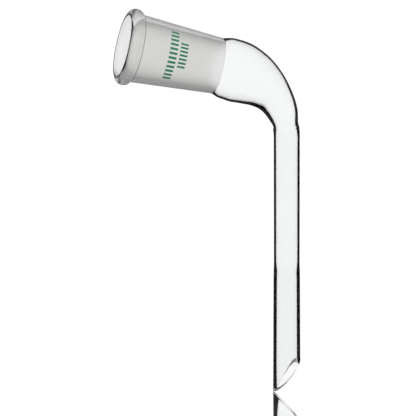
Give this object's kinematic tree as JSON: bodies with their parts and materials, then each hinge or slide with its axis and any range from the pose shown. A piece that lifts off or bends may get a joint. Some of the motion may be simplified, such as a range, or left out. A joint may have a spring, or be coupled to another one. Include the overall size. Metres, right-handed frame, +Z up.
{
  "type": "bent glass distillation adapter",
  "caption": "Bent clear glass receiving adapter: a ground tapered female joint, a reducing bend and a long drip stem with a slanted tip, for joining a condenser to a receiver.",
  "frame": {"origin": "centre of the ground socket's mouth, on the plane of the lip", "axes": "+Z up, the drip stem hangs along -Z; the mouth looks towards -X and 15 degrees up; the passage lies in the XZ plane, which is the plane of symmetry apart from the fired marks"},
  "size_m": [0.0769, 0.031, 0.1669],
  "materials": {
    "clear_glass": "clear, smooth, fire polished borosilicate glass",
    "ground_glass": "smooth outside, finely ground matt bore",
    "green_enamel": "fired green enamel, satin"
  },
  "bodies": {
    "root": {"mouth_bead": "clear_glass", "ground_barrel": "ground_glass", "reducing_bend": "clear_glass", "stem_tube": "clear_glass", "drip_tip": "clear_glass", "enamel_row_long": "green_enamel", "enamel_row_short": "green_enamel"}
  },
  "joints": []
}
